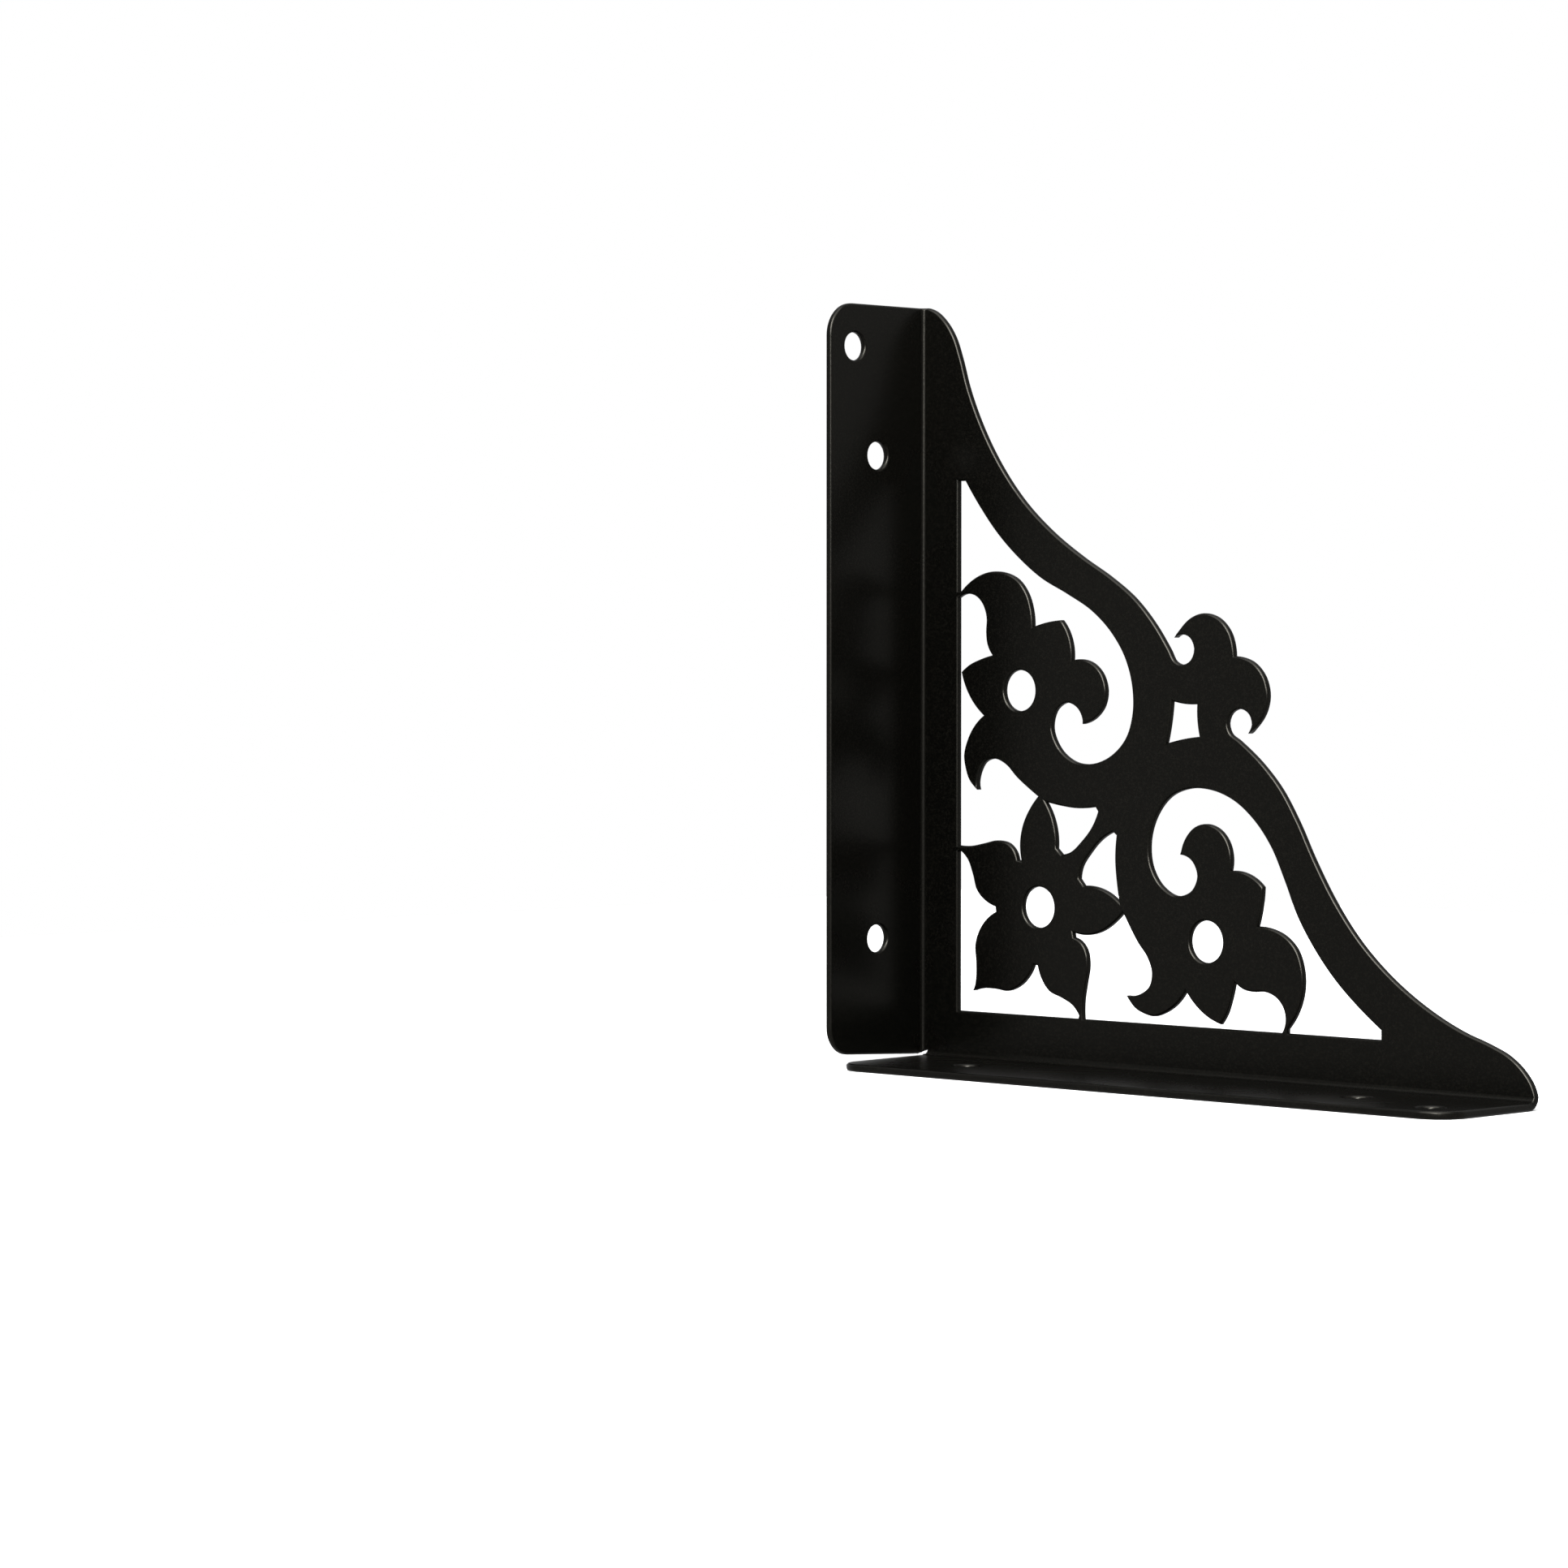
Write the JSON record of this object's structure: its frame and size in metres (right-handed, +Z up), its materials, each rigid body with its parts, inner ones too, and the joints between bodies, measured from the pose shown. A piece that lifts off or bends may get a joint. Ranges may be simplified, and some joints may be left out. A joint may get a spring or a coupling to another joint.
{
  "type": "shelf bracket",
  "caption": "Right-angled scrollwork shelf bracket cut and bent from one steel sheet, with screw holes in both flanges.",
  "frame": {"origin": "centre of the bounding box's bottom, on the underside of the shelf flange", "axes": "+Z up as it stands on its shelf flange, -X towards the wall, -Y towards the free edges of both flanges"},
  "size_m": [0.15, 0.028, 0.15],
  "materials": {
    "black_powder_coat": "satin black powder coat with a fine grain"
  },
  "bodies": {
    "root": {"bracket": "black_powder_coat"}
  },
  "joints": []
}
